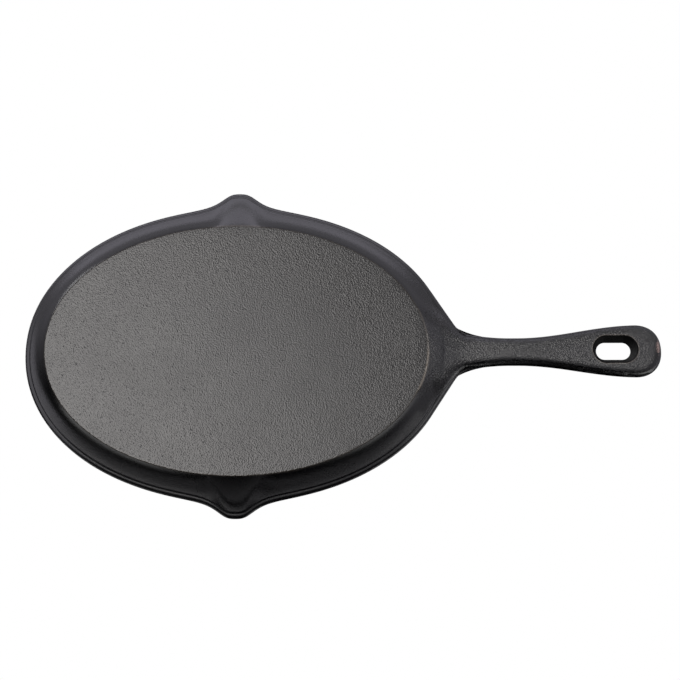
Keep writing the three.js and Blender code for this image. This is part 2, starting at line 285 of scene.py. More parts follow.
# Height of the line where the two halves of the mould met, which is the outline's own height.
def partingAt(x):
    return mix(pan["partingHeight"], handle["parting"] - dropAt(x), ease(*handle["partingX"], x))


# Bead from below: the lower half of an ellipse whose outer edge is the outline, and along the handle a thin
# half round. Past its inner end it climbs steeply, so that the wall takes over.
def beadUnder(inset, x):
    faded = ease(*handle["beadFadesX"], x)
    radius = mix(pan["underBeadRadius"], handle["lipRadius"], faded)
    circle = np.sqrt(np.maximum(radius ** 2 - (inset - radius) ** 2, 0.0))
    taper = mix(pan["underBeadDepth"] / pan["underBeadRadius"], 1.0, faded)
    return partingAt(x) - taper * circle + pan["beadEndSlope"] * np.maximum(inset - 2.0 * radius, 0.0)


# Wall from below: a quadratic curve from the base edge over the heel to the bead's crease, then a steep step.
# At the handle the heel moves outwards and fills the corner. Under a lip the curve is pulled straight.
def wallUnder(inset, run, points):
    x, y = points[..., 0], np.abs(points[..., 1])
    turn = math.radians(pan["creaseTurn"])
    creaseInset = pan["underBeadRadius"] * (1.0 - math.cos(turn)) + pan["stepRise"] / pan["stepSlope"]
    creaseHeight = pan["partingHeight"] - pan["underBeadDepth"] * math.sin(turn) - pan["stepRise"]
    filled = (1.0 - ease(0.0, handle["gussetHalfWidth"], y)) * ease(*handle["gussetX"], x)
    heelRun = mix(pan["heelRun"], handle["gussetRun"], filled)
    heelHeight = mix(pan["heelHeight"], handle["gussetHeight"], filled)
    straight = ease(*pan["straightLip"], 1.0 / lipSpread(x)) * ease(*pan["straightY"], y)
    heelRun = mix(heelRun, (run - creaseInset) / 2.0, straight)
    heelHeight = mix(heelHeight, creaseHeight / 2.0, straight)
    reach = np.clip(run - inset, 0.0, run - creaseInset)
    a = creaseInset - run + 2.0 * heelRun
    t = 2.0 * reach / (2.0 * heelRun + np.sqrt(np.maximum(4.0 * heelRun ** 2 + 4.0 * a * -reach, 0.0)))
    height = 2.0 * t * (1.0 - t) * heelHeight + t * t * creaseHeight
    slopeIn = heelHeight / heelRun
    step = pan["stepSlope"] * np.maximum(creaseInset - inset, 0.0)
    return height - slopeIn * np.maximum(inset - run, 0.0) + step


# Handle from below: from its lowest line up to the parting line at its sides, as 1 - (1 - u^m)^(1/m).
# Across the neck u is |y| over the half width; on the grip it comes from the distance to the outline.
# The lowest line sags at the root and is raised at the waist.
def spineUnder(x, y, inset):
    waist = handle["waistRise"] * (1.0 - ease(handle["waistX"], handle["bellyToX"], x))
    root = handle["rootSag"] * (1.0 - ease(handle["rootFromX"], handle["waistX"], x))
    lowest = handle["underside"] - dropAt(x) + waist - root
    flare = handleHalf(x) - handle["neckHalfWidth"]
    followed = mix(handle["flareFollowed"], 1.0, ease(handle["followedFromX"], handle["neckX"], x))
    half = handle["neckHalfWidth"] - handle["sideInset"] + flare * followed
    byWidth = np.abs(y) / half
    byOutline = 1.0 - (inset - handle["sideInset"]) / half
    across = np.maximum(mix(byWidth, byOutline, ease(*handle["byOutlineX"], x)), 0.0)
    fullness = np.interp(x, handle["crownX"], handle["crownFullness"])
    rise = 1.0 - np.maximum(1.0 - np.minimum(across, 1.0) ** fullness, 0.0) ** (1.0 / fullness)
    outside = np.clip((across - 1.0) * half, 0.0, handle["outsideLimit"])
    outside = outside + np.maximum(handle["spineStartX"] - x, 0.0)
    besideRoot = np.maximum(handle["rampToX"] - x, 0.0)
    ramp = handle["spineRamp"] * besideRoot ** 2 * ease(*handle["rampY"], np.abs(y))
    return mix(lowest, partingAt(x), rise) + handle["outsideSlope"] * outside + ramp


# Whole underside: wall and handle run together, the bead lies outside them, and the base cuts off at zero.
def underHeight(points, inset, wallInset, run):
    x, y = points[..., 0], points[..., 1]
    atRoot = ease(*handle["filletX"], x) * (1.0 - ease(*handle["filletEndX"], x))
    blend = handle["plainFillet"] + handle["rootFillet"] * atRoot
    deep = softMin(wallUnder(wallInset, run, points), spineUnder(x, y, inset), blend)
    height = softMin(beadUnder(inset, x), deep, pan["creaseFillet"] * offOutline(inset))
    return 0.5 * (height + np.sqrt(height ** 2 + pan["baseEdgeRound"] ** 2 * offOutline(inset)))


# Pan from above: the bead's round top, then a quadratic curve over the cove down to the flat floor.
def panTop(wallInset, run):
    turn = math.radians(pan["innerTurn"])
    radius = pan["beadRadius"]
    innerInset = radius * (1.0 - math.cos(turn))
    innerHeight = pan["partingHeight"] + radius * math.sin(turn)
    onBead = np.clip(wallInset, 0.0, innerInset)
    bead = pan["partingHeight"] + np.sqrt(np.maximum(radius ** 2 - (onBead - radius) ** 2, 0.0))
    bead = bead + pan["rimEndSlope"] * np.minimum(wallInset, 0.0)
    reach = np.clip(wallInset - innerInset, 0.0, run + pan["floorEdgeInset"] - innerInset)
    a = innerInset - 2.0 * (run + pan["coveInset"]) + run + pan["floorEdgeInset"]
    b = 2.0 * (run + pan["coveInset"] - innerInset)
    t = 2.0 * reach / (b + np.sqrt(np.maximum(b * b + 4.0 * a * reach, 0.0)))
    wall = (1.0 - t) ** 2 * innerHeight + (1.0 - (1.0 - t) ** 2) * pan["floorTop"]
    return np.where(wallInset < innerInset, bead, wall)


# Handle's top: flat, with a quarter round along the outline. It ends inside the bead.
def handleTop(points, inset, wallInset):
    x = points[..., 0]
    pastRim = np.maximum(wallInset - handle["topSinksFrom"], 0.0)
    level = handle["top"] - dropAt(x) - handle["topSinks"] * pastRim ** 2
    share = np.clip(inset / handle["edgeRound"], 0.0, 1.0)
    return partingAt(x) + (level - partingAt(x)) * np.sqrt(1.0 - (1.0 - share) ** 2)


# Whole cooking side: the higher of pan and handle, with a small fillet between them.
def topHeight(points, inset, wallInset, run):
    fillet = handle["topFillet"] * offOutline(inset)
    return softMax(panTop(wallInset, run), handleTop(points, inset, wallInset), fillet)


# Slow unevenness of a sand mould: the sum of four crossing sine waves, a few hundredths of a millimetre high.
def mouldWaves(x, y):
    swayX = mould["swayX"] * np.sin(y / mould["swayLengthX"])
    swayY = mould["swayY"] * np.sin(x / mould["swayLengthY"])
    alongX = np.sin(x / mould["lengthX"] + swayX)
    alongY = np.sin(y / mould["lengthY"] + mould["shiftY"] + swayY)
    diagonal = np.sin((x + y) / mould["lengthDiagonal"] + mould["shiftDiagonal"])
    slanted = np.sin((x - mould["slant"] * y) / mould["lengthSlanted"])
    return mould["height"] * (alongX + alongY + diagonal + slanted)


# Angles of the columns round the pan: even at the handle's root, and a bell curve crowds them at each lip.
def columnAngles():
    rootFaces = 2 * meshing["flankFaces"] + crossFaces
    restFaces = 4 * meshing["patchSide"] - rootFaces
    fine = np.linspace(touchAngle, 2.0 * np.pi - touchAngle, meshing["angleSteps"])
    width = math.radians(meshing["lipCrowdingWidth"])
    crowd = sum(np.exp(-((fine - place) / width) ** 2) for place in (np.pi / 2, 1.5 * np.pi))
    weight = np.cumsum(1.0 + meshing["lipCrowding"] * crowd)
    weight = (weight - weight[0]) / (weight[-1] - weight[0])
    rest = np.interp(np.linspace(0.0, 1.0, restFaces + 1), weight, fine)
    root = np.linspace(-touchAngle, touchAngle, rootFaces + 1)
    return root, rest


# Places across the handle, from one side to the other: rows close to both edges, evenly spread between.
def crossPlaces(half):
    edge = np.array(meshing["edgeRows"])
    inner = half - edge[-1]
    middle = np.linspace(-inner, inner, meshing["middleFaces"] + 1)[1:-1]
    return np.concatenate([edge - half, middle, (half - edge)[::-1]])


# Blocks of the mesh are grids of points. Each grid adds its points, quads and finish here.
vertexBlocks, faceBlocks, shadeBlocks = [], [], []


# One grid: each quad joins two neighbours in a row with the two below. A closed one joins its ends as well.
def addGrid(points, shade, closed=False):
    rows, columns = points.shape[:2]
    first = sum(len(block) for block in vertexBlocks)
    index = first + np.arange(rows * columns).reshape(rows, columns)
    if closed:
        index = np.concatenate([index, index[:, :1]], axis=1)
    quads = np.stack([index[:-1, :-1], index[:-1, 1:], index[1:, 1:], index[1:, :-1]], axis=-1)
    vertexBlocks.append(points.reshape(-1, 3))
    faceBlocks.append(quads.reshape(-1, 4))
    shadeBlocks.append(shade.reshape(-1, shade.shape[-1]))


# A floor: a square grid bent into a disc, x * sqrt(1 - y^2 / 2) and back, and scaled to the ring around it.
def floorPatch(ring):
    even = np.linspace(-1.0, 1.0, meshing["patchSide"] + 1)
    u, v = np.meshgrid(even, even)
    discX, discY = u * np.sqrt(1.0 - v * v / 2.0), v * np.sqrt(1.0 - u * u / 2.0)
    radius, angle = np.hypot(discX, discY), np.arctan2(discY, discX)
    row, column = np.nonzero(np.maximum(np.abs(u), np.abs(v)) == 1.0)
    order = np.argsort(angle[row, column])
    border = (row[order], column[order])
    ring = ring[np.argsort(np.arctan2(ring[:, 1], ring[:, 0]))]
    turn = angle[border]
    wrapped = np.concatenate([[turn[-1] - 2 * np.pi], turn, [turn[0] + 2 * np.pi]])
    loop = np.concatenate([ring[-1:], ring, ring[:1]])
    flat = np.stack([np.interp(angle, wrapped, loop[:, k]) for k in (0, 1)], axis=-1) * radius[..., None]
    flat[border] = ring[:, :2]
    return flat, border, ring


# Columns, and the pan's two lines at each of them
rootAngles, restAngles = columnAngles()
angles = np.concatenate([rootAngles, restAngles[1:-1]])
rim, base = rimLine(angles), baseLine(angles)
rim[:len(rootAngles)] = plainRim(rootAngles)
run = np.linalg.norm(rim - base, axis=1)
inward = (base - rim) / run[:, None]
rootColumns = slice(0, len(rootAngles))
print("columns:", len(angles), "of them at the handle:", len(rootAngles))


# Finish at each point: ground base, grain, worn edges with a painted highlight, bare metal.
def shadeOf(ground, grain, wearAndHighlight=0.0, bare=0.0):
    parts = np.broadcast_arrays(ground, grain, wearAndHighlight, bare)
    return np.stack(parts, axis=-1).astype(float)


# How much a point belongs to the handle's root, where the base's grain runs on: eased in x and |y|.
def rootShare(points):
    x, y = points[..., 0], np.abs(points[..., 1])
    return ease(*finish["rootX"], x) * (1.0 - ease(*finish["rootY"], y))


# Distance from the outline at the pan's own rows: the row's inset, or the true distance near the handle.
def insetOf(points, rowInset):
    inset = np.array(np.broadcast_to(rowInset, points.shape[:2]))
    share = 1.0 - ease(meshing["trueFrom"] * touchAngle, touchAngle, np.abs(rootAngles))
    true = distanceToOutline(points[:, rootColumns])
    inset[:, rootColumns] = mix(inset[:, rootColumns], true, share)
    return inset


# Plan points as x, y and z, the height of that side plus the mould's waves.
def raised(heightOf, points, inset, wallInset, wallRun):
    shape = points.shape[:2]
    height = heightOf(points, inset, np.broadcast_to(wallInset, shape), np.broadcast_to(wallRun, shape))
    height = height + mouldWaves(points[..., 0], points[..., 1])
    return np.concatenate([points, height[..., None]], axis=-1)


# The pan's closed rows: the rim moved inwards by each inset. The base edge's wear and painted highlight is a
# bell curve across it, strongest near the handle.
def addPan(heightOf, rowInset, rootGrain, cooking):
    points = rim + inward * rowInset[..., None]
    inset = insetOf(points, rowInset)
    grid = raised(heightOf, points, inset, rowInset, run)
    insideEdge = rowInset - run
    ground = ease(*finish["floorEdge" if cooking else "groundEdge"], insideEdge)
    fromBrightEdge = np.abs(points[..., 1] - finish["brightEdgeY"])
    brightEdgeShare = ease(*finish["brightEdgeX"], points[..., 0]) * (1.0 - ease(*finish["brightEdgeEnds"], fromBrightEdge))
    wornAndHighlit = np.exp(-(insideEdge / finish["edgeWearAndHighlightWidth"]) ** 2) * mix(finish["edgeWearAndHighlight"], 1.0, brightEdgeShare)
    rubbed = mix(mix(finish["wallGrain"], 1.0, ground), rootGrain, rootShare(points) * (1.0 - ground))
    grain = rubbed * mix(finish["rimGrain"], 1.0, ease(*finish["rimInset"], inset))
    addGrid(grid, shadeOf(ground, grain, 0.0 if cooking else wornAndHighlit), closed=True)
    return grid


# The floor inside the last of those rows.
def addFloor(heightOf, lastRow):
    flat, border, ring = floorPatch(lastRow)
    far = np.full(flat.shape[:2], meshing["farInside"])
    floor = raised(heightOf, flat, far, far, run[0])
    floor[border] = ring
    addGrid(floor, shadeOf(np.ones_like(far), 1.0))


# Apron between the rim's oval and the handle's outline, out to the cut across the neck: straight columns from
# the outline in to the rim, with close rows along the outline.
def addApron(heightOf, firstRow, rootGrain):
    cut, flank = meshing["neckCutX"], meshing["flankFaces"]
    edge = np.array(meshing["edgeRows"])
    side = alongOutline(np.linspace(0.0, lengthAt(cut), flank + 1))
    chordY = crossPlaces(float(handleHalf(np.array(cut))))
    chord = np.stack([np.full(len(chordY), cut), chordY], axis=-1)
    outer = np.concatenate([side * [1.0, -1.0], chord[1:-1], side[::-1]])
    inner = firstRow[rootColumns]
    span = np.linalg.norm(outer - inner[:, :2], axis=1)
    fromOuter = edge[:, None] * np.minimum(1.0, span / (meshing["edgeSpan"] * edge[-1]))
    middle = np.linspace(0.0, 1.0, meshing["apronRows"] + 1)[1:, None]
    fromOuter = np.concatenate([fromOuter, mix(fromOuter[-1], span, middle)])
    share = fromOuter / np.maximum(span, tiny)
    points = mix(outer[None], inner[None, :, :2], share[..., None])
    inset = distanceToOutline(points)
    inset[0, :flank + 1] = 0.0
    inset[0, -flank - 1:] = 0.0
    apron = raised(heightOf, points, inset, -(1.0 - share) * span, run[rootColumns])
    apron[-1] = inner
    apron[:, 0], apron[:, -1] = inner[0], inner[-1]
    grain = mix(finish["wallGrain"], rootGrain, rootShare(points))
    grain = grain * mix(finish["rimGrain"], 1.0, ease(*finish["apronInset"], inset))
    addGrid(apron, shadeOf(0.0, grain))
    return apron


# Grain on neck and grip: rubbed off along the sides, eased in from the outline.
def handleShade(grain, inset):
    return mix(finish["sideGrain"], grain, ease(*finish["sideInset"], inset))


# Strip along the neck, straight across at each x. It starts on the apron's cut.
def addNeck(heightOf, apron, grain):
    x = np.linspace(meshing["neckCutX"], meshing["gripCutX"], meshing["stripFaces"] + 1)
    places = np.stack([crossPlaces(float(half)) for half in handleHalf(x)])
    points = np.stack([np.broadcast_to(x[:, None], places.shape), places], axis=-1)
    inset = distanceToOutline(points)
    inset[:, 0] = inset[:, -1] = 0.0
    neck = raised(heightOf, points, inset, meshing["farOutside"], run[0])
    neck[0] = apron[0, meshing["flankFaces"]:meshing["flankFaces"] + crossFaces + 1]
    addGrid(neck, shadeOf(0.0, handleShade(grain, inset)))
    return neck


# Grip: closed rows from its outline to the slot's mouth. The bare spot and the painted highlight round the
# mouth are bell curves.
def addGrip(heightOf, neck, grain, cooking):
    edge = np.array(meshing["edgeRows"])
    tipLengths = np.linspace(lengthAt(meshing["gripCutX"]), outlineLength[-1], meshing["tipFaces"] // 2 + 1)
    tip = alongOutline(tipLengths)
    tip = np.concatenate([tip[:-1], (tip * [1.0, -1.0])[::-1]])
    outer = np.concatenate([neck[-1, :, :2], tip[1:-1]])
    reach = outer - [slot["x"], 0.0]
    mouth = slotRing(reach, slot["topFlare" if cooking else "underFlare"] + slot["mouthRound"])
    span = np.linalg.norm(outer - mouth, axis=1)
    even = np.linspace(0.0, 1.0, meshing["gripRows"] + 1)[1:, None]
    crowded = (ease(0.0, 1.0, even) + even) / 2.0
    nearOutline = np.broadcast_to(edge[:, None], (len(edge), len(outer)))
    fromOuter = np.concatenate([nearOutline, mix(edge[-1], span, crowded)])
    points = mix(outer[None], mouth[None], (fromOuter / span)[..., None])
    inset = distanceToOutline(points)
    inset[0, crossFaces:] = 0.0
    inset[0, 0] = 0.0
    grip = raised(heightOf, points, inset, meshing["farOutside"], run[0])
    grip[0, :crossFaces + 1] = neck[-1]
    spot = ((points[..., 0] - finish["bareX"]) / finish["bareHalfWidth"]) ** 2
    spot = spot + ((points[..., 1] - finish["bareY"]) / finish["bareHalfLength"]) ** 2
    nearMouth = np.linalg.norm(points - mouth, axis=-1)
    # Painted highlight round the slot's mouth, in the edges' lighter tone.
    wearAndHighlight = finish["mouthHighlight"] * np.exp(-(nearMouth / finish["mouthHighlightWidth"]) ** 2)
    shade = shadeOf(0.0, handleShade(grain, inset), wearAndHighlight, 0.0 if cooking else np.exp(-spot))
    addGrid(grip, shade, closed=True)
    return grip[-1], reach


# One side of the casting, grid by grid. Where two grids meet, the first one's finish is kept.
def buildSide(heightOf, rowInset, cooking):
    rootGrain = finish["rootGrainTop" if cooking else "grainUnder"]
    handleGrain = finish["grainTop" if cooking else "grainUnder"]
    grid = addPan(heightOf, rowInset, rootGrain, cooking)
    addFloor(heightOf, grid[-1])
    apron = addApron(heightOf, grid[0], rootGrain)
    neck = addNeck(heightOf, apron, handleGrain)
    return addGrip(heightOf, neck, handleGrain, cooking)


# Slot outline at an offset from its waist, where rays from its centre meet it: a half circle at each end.
def slotRing(reach, offset):
    direction = reach / np.linalg.norm(reach, axis=1)[:, None]
    radius, flat = slot["radius"] + offset, slot["straightHalf"]
    c, s = np.abs(direction[:, 0]), np.abs(direction[:, 1])
    onSide = radius / np.maximum(s, tiny)
    onEnd = flat * c + np.sqrt(np.maximum(radius ** 2 - (flat * s) ** 2, 0.0))
    length = np.where(onSide * c <= flat, onSide, onEnd)
    return direction * length[:, None] + [slot["x"], 0.0]


# Rows of a side, as insets from the rim: round the bead by 1 - cos, then over the wall to the floor's edge
beadTurns = np.radians(np.linspace(0.0, pan["creaseTurn"], meshing["beadRows"]))
beadRows = pan["underBeadRadius"] * (1.0 - np.cos(beadTurns))
wallShares = 0.5 - 0.5 * np.cos(np.linspace(0.0, np.pi, meshing["wallRows"]))[1:]
underRows = np.concatenate([
    np.broadcast_to(beadRows[:, None], (len(beadRows), len(run))),
    beadRows[-1] + (run - beadRows[-1]) * wallShares[:, None],
    run + np.array(meshing["baseEdgeRows"])[:, None]])
underMouth, slotReach = buildSide(underHeight, underRows, False)
print("underside done")

topTurns = np.radians(np.linspace(0.0, pan["innerTurn"], meshing["topBeadRows"]))
topBead = pan["beadRadius"] * (1.0 - np.cos(topTurns))
coveShares = np.linspace(0.0, 1.0, meshing["coveRows"])[1:]
topRows = np.concatenate([
    np.broadcast_to(topBead[:, None], (len(topBead), len(run))),
    topBead[-1] + (run + pan["floorEdgeInset"] - topBead[-1]) * coveShares[:, None],
    (run + pan["floorEdgeInset"] + meshing["floorEdgeRow"])[None]])
topMouth, _ = buildSide(topHeight, topRows, True)
print("cooking side done")


# Rings from a mouth of the slot in round its edge, a quarter circle. Way is 1 from below and -1 from above.
def mouthRings(mouth, flare, way):
    r = way * slot["mouthRound"]
    rings = [mouth]
    for turn in np.radians(slot["mouthTurns"]):
        flatRing = slotRing(slotReach, flare + slot["mouthRound"] * (1.0 - math.sin(turn)))
        rings.append(np.column_stack([flatRing, mouth[:, 2] + r * (1.0 - math.cos(turn))]))
    return rings


# Slot wall: rings from the lower mouth, in round the edge, up to the waist and out to the upper mouth.
def slotWall():
    waist = handle["parting"] - dropAt(np.array(slot["x"]))
    rings = mouthRings(underMouth, slot["underFlare"], 1.0)
    start = rings[-1][:, 2]
    for share in np.linspace(0.0, 1.0, slot["wallRings"])[1:]:
        flatRing = slotRing(slotReach, slot["underFlare"] * (1.0 - share))
        rings.append(np.column_stack([flatRing, mix(start, waist, share)]))
    rings += mouthRings(topMouth, slot["topFlare"], -1.0)[::-1]
    wall = np.stack(rings)
    addGrid(wall, shadeOf(np.zeros(wall.shape[:2]), finish["slotGrain"]), closed=True)


slotWall()


# Joins the blocks: points that coincide become one, and squares that shrank become triangles or go.
def castingMesh():
    points, quads, shades = (np.concatenate(blocks) for blocks in (vertexBlocks, faceBlocks, shadeBlocks))
    steps = np.round(points * meshing["weldSteps"]).astype(np.int64)
    _, first, same = np.unique(steps, axis=0, return_index=True, return_inverse=True)
    quads = same.reshape(-1)[quads]
    repeated = quads == np.roll(quads, -1, axis=1)
    whole = quads[~repeated.any(axis=1)]
    shrunk = repeated.sum(axis=1) == 1
    triangles = quads[shrunk][~repeated[shrunk]].reshape(-1, 3)
    mesh = bpy.data.meshes.new("panCasting")
    mesh.from_pydata((points[first] * mm).tolist(), [], whole.tolist() + triangles.tolist())
    # The slot's wall takes the second material, its painted shade.
    inSlot = np.zeros(len(whole) + len(triangles), np.int32)
    inSlot[len(whole) - len(faceBlocks[-1]):len(whole)] = 1  # the slot's wall came last
    mesh.polygons.foreach_set("material_index", inSlot)
    for column, name in enumerate(("ground", "grain", "wearAndHighlight", "bare")):
        layer = mesh.attributes.new(name, "FLOAT", "POINT")
        layer.data.foreach_set("value", shades[first, column].astype(np.float32))
    return mesh


# A new object, linked into the scene.
def addObject(name, data):
    thing = bpy.data.objects.new(name, data)
    bpy.context.collection.objects.link(thing)
    return thing


castingData = castingMesh()
work = bmesh.new()
work.from_mesh(castingData)
bmesh.ops.recalc_face_normals(work, faces=work.faces)
work.to_mesh(castingData)
castingVolume = work.calc_volume(signed=True)
work.free()
castingData.polygons.foreach_set("use_smooth", np.ones(len(castingData.polygons), bool))
castingData.update()
casting = addObject("pan_casting", castingData)

# A closed casting has two faces at each edge.
cornerEdges = np.empty(len(castingData.loops), np.int32)
castingData.loops.foreach_get("edge_index", cornerEdges)
openEdges = np.count_nonzero(np.bincount(cornerEdges, minlength=len(castingData.edges)) != 2)
triangleCount = len(castingData.loops) - 2 * len(castingData.polygons)
print("casting:", len(castingData.vertices), "points,", triangleCount, "triangles, open edges", openEdges,
      "volume cm3", round(castingVolume * 1e6, 1))


# sRGB hex to linear: v / 12.92 where dark, else ((v + 0.055) / 1.055) ^ 2.4.
def colour(text):
    values = [int(text[k:k + 2], 16) / 255.0 for k in (1, 3, 5)]
    linear = [v / 12.92 if v <= 0.04045 else ((v + 0.055) / 1.055) ** 2.4 for v in values]
    return (*linear, 1.0)


# Adds a node: settings are its properties, sockets its values or what feeds them, where a node stands for its
# first output.
def addNode(tree, kind, sockets=None, **settings):
    node = tree.nodes.new("ShaderNode" + kind)
    for name, value in settings.items():
        setattr(node, name, value)
    for name, value in (sockets or {}).items():
        if isinstance(value, bpy.types.Node):
            value = value.outputs[0]
        if isinstance(value, bpy.types.NodeSocket):
            tree.links.new(value, node.inputs[name])
        else:
            node.inputs[name].default_value = value
    return node


# The empty node tree of a new material or world.
def emptyTree(owner):
    owner.use_nodes = True
    owner.node_tree.nodes.clear()
    return owner.node_tree


# Cast iron out of a sand mould, seasoned with baked oil: near black and satin, so that its grey is gloss,
# apart from a painted highlight, with some wear, along the base edge and a painted highlight round the slot's
# mouth.
# The base and the handle keep the sand's pebbled grain, the base some pits too; wall and bead were rubbed
# smoother. The grain is drawn coarser than moulding sand, so that it shows.
iron = {
    "ground": "#0f0e0c", "black": "#08080a", "wornAndHighlit": "#6a6258", "pit": "#020202", "bare": "#9c8680",
    "grainSize": 0.7, "gritSize": 0.45, "grainHeight": 0.185,  # mm
    "grainDetail": 0.0, "gritDetail": 1.0, "gritShare": 0.15,
    "grainTurn": (37.0, 24.0, 31.0),  # degrees, so that the flat base cuts the grain slantwise, with no grid
    "pitSpacing": 6.0, "pitRadius": 0.55, "pitCore": 0.4,  # mm, and the flat middle's share
    "pitDepth": 0.5, "emptyCells": 0.55,  # shares of the grain's height and of the cells
    "patchFrom": 0.15, "patchTo": 0.45,  # bare metal shows on the grain's tops
    "gloss": 0.8, "roughness": 0.28, "groundRoughness": 0.30, "roughnessSpread": 0.06,
    "smudgeSize": 35.0, "smudgeDetail": 3.0, "smudgeFrom": 0.3, "smudgeTo": 0.7,
}


# Bump: (grain + gritShare * grit - pitDepth * pit) times the point's share of grain. Colour: base or black,
# then pits, worn edges with their painted highlight and bare metal over it.
def seasonedIron():
    material = bpy.data.materials.new("seasoned sand-cast iron")
    tree = emptyTree(material)
    ground, grainShare, wearAndHighlight, bare = (
        addNode(tree, "Attribute", attribute_name=name).outputs["Fac"]
        for name in ("ground", "grain", "wearAndHighlight", "bare"))
    place = addNode(tree, "TexCoord").outputs["Object"]
    turned = addNode(tree, "Mapping", {
        "Vector": place, "Rotation": [math.radians(turn) for turn in iron["grainTurn"]]})
    grain, grit, smudge = (
        addNode(tree, "TexNoise", {
            "Vector": way, "Scale": 1.0 / (iron[name + "Size"] * mm), "Detail": iron[name + "Detail"]})
        for name, way in (("grain", turned), ("grit", turned), ("smudge", place)))

    # Pits: a dot in the middle of some cells
    cells = addNode(tree, "TexVoronoi", {
        "Vector": place, "Scale": 1.0 / (iron["pitSpacing"] * mm)}, voronoi_dimensions="2D")
    dot = addNode(tree, "MapRange", {
        "Value": cells.outputs["Distance"], "To Min": 1.0, "To Max": 0.0,
        "From Min": iron["pitCore"] * iron["pitRadius"] / iron["pitSpacing"],
        "From Max": iron["pitRadius"] / iron["pitSpacing"]})
    chance = addNode(tree, "SeparateColor", {"Color": cells.outputs["Color"]})
    chosen = addNode(tree, "Math", {0: chance, 1: iron["emptyCells"]}, operation="GREATER_THAN")
    some = addNode(tree, "Math", {0: dot, 1: chosen}, operation="MULTIPLY")
    pit = addNode(tree, "Math", {0: some, 1: ground}, operation="MULTIPLY")

    both = addNode(tree, "Math", {0: grit, 1: iron["gritShare"], 2: grain}, operation="MULTIPLY_ADD")
    sunk = addNode(tree, "Math", {0: pit, 1: -iron["pitDepth"], 2: both}, operation="MULTIPLY_ADD")
    height = addNode(tree, "Math", {0: sunk, 1: grainShare}, operation="MULTIPLY")
    bump = addNode(tree, "Bump", {"Height": height, "Distance": iron["grainHeight"] * mm, "Strength": 1.0})

    patch = addNode(tree, "Math", {0: bare, 1: grain}, operation="MULTIPLY")
    patchy = addNode(tree, "MapRange", {
        "Value": patch, "From Min": iron["patchFrom"], "From Max": iron["patchTo"]})
    tint = colour(iron["black"])
    # The lighter edge tone is a painted highlight, with wear along the base edge.
    for share, over in ((ground, "ground"), (pit, "pit"), (wearAndHighlight, "wornAndHighlit"), (patchy, "bare")):
        tint = addNode(tree, "Mix", {
            "Factor": share, "A": tint, "B": colour(iron[over])}, data_type="RGBA").outputs["Result"]
    rough = addNode(tree, "MapRange", {
        "Value": smudge, "From Min": iron["smudgeFrom"], "From Max": iron["smudgeTo"],
        "To Min": iron["roughness"] - iron["roughnessSpread"] / 2.0,
        "To Max": iron["roughness"] + iron["roughnessSpread"] / 2.0})
    rough = addNode(tree, "Math", {
        0: ground, 1: iron["groundRoughness"] - iron["roughness"], 2: rough}, operation="MULTIPLY_ADD")
    shader = addNode(tree, "BsdfPrincipled", {
        "Base Color": tint, "Roughness": rough, "Specular IOR Level": iron["gloss"], "Normal": bump})
    addNode(tree, "OutputMaterial", {"Surface": shader})
    return material


# The slot's wall: dull black with little gloss, a painted shade for the shade inside the slot. Its grain is
# drawn coarse too.
slotShade = {
    "black": "#050505", "roughness": 0.75, "gloss": 0.12,
    "grainSize": 0.9, "grainDetail": 2.0, "grainHeight": 0.3,  # mm
}


# Plain black with noise as bump: the slot's painted shade.
def slotShadeIron():
    material = bpy.data.materials.new("dull black iron, painted shade in the slot")
    tree = emptyTree(material)
    place = addNode(tree, "TexCoord").outputs["Object"]
    grain = addNode(tree, "TexNoise", {
        "Vector": place, "Scale": 1.0 / (slotShade["grainSize"] * mm), "Detail": slotShade["grainDetail"]})
    bump = addNode(tree, "Bump", {"Height": grain, "Distance": slotShade["grainHeight"] * mm, "Strength": 1.0})
    shader = addNode(tree, "BsdfPrincipled", {
        "Base Color": colour(slotShade["black"]), "Roughness": slotShade["roughness"],
        "Specular IOR Level": slotShade["gloss"], "Normal": bump})
    addNode(tree, "OutputMaterial", {"Surface": shader})
    return material


castingData.materials.append(seasonedIron())
# Second material: painted shade on the slot's wall.
castingData.materials.append(slotShadeIron())
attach(casting, "root")
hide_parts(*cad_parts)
print("iron done")

# Pale floor, seen from above only: from below it lets everything through.
studio = {
    "floorColour": "#e9e9e7", "floorHalf": 8.0, "whiteFrom": 0.35, "whiteTo": 1.5,  # metres
    "floorDrop": 0.6,  # mm, this and all below
    "ringDrop": 0.05, "ringInside": 0.15, "ringInset": 4.2,  # strip under the wall
    "ringGap": 1.5, "ringReach": 6.0,  # strip round the rim
    "handleInside": 3.0, "handleSteps": 240,  # strips along the handle
    "rootGap": 16.0, "rootClosed": 32.0, "lipGap": 14.0, "lipClosed": 34.0,  # open at root and far lip
}
white = (1.0, 1.0, 1.0, 1.0)


# One-sided pale paint. Away from the pan the floor turns white for the camera, so that no horizon shows.
def palePaint(name, fadesOut):
    material = bpy.data.materials.new(name)
    tree = emptyTree(material)
    behind = addNode(tree, "NewGeometry").outputs["Backfacing"]
    matt = addNode(tree, "BsdfDiffuse", {"Color": colour(studio["floorColour"])})
    if fadesOut:
        place = addNode(tree, "TexCoord").outputs["Object"]
        away = addNode(tree, "VectorMath", {0: place}, operation="LENGTH").outputs["Value"]
        share = addNode(tree, "MapRange", {
            "Value": away, "From Min": studio["whiteFrom"], "From Max": studio["whiteTo"]},
            interpolation_type="SMOOTHSTEP")
        glow = addNode(tree, "Emission", {"Color": white})
        matt = addNode(tree, "MixShader", {"Fac": share, 1: matt, 2: glow})
    clear = addNode(tree, "BsdfTransparent")
    both = addNode(tree, "MixShader", {"Fac": behind, 1: matt, 2: clear})
    addNode(tree, "OutputMaterial", {"Surface": both})
    return material


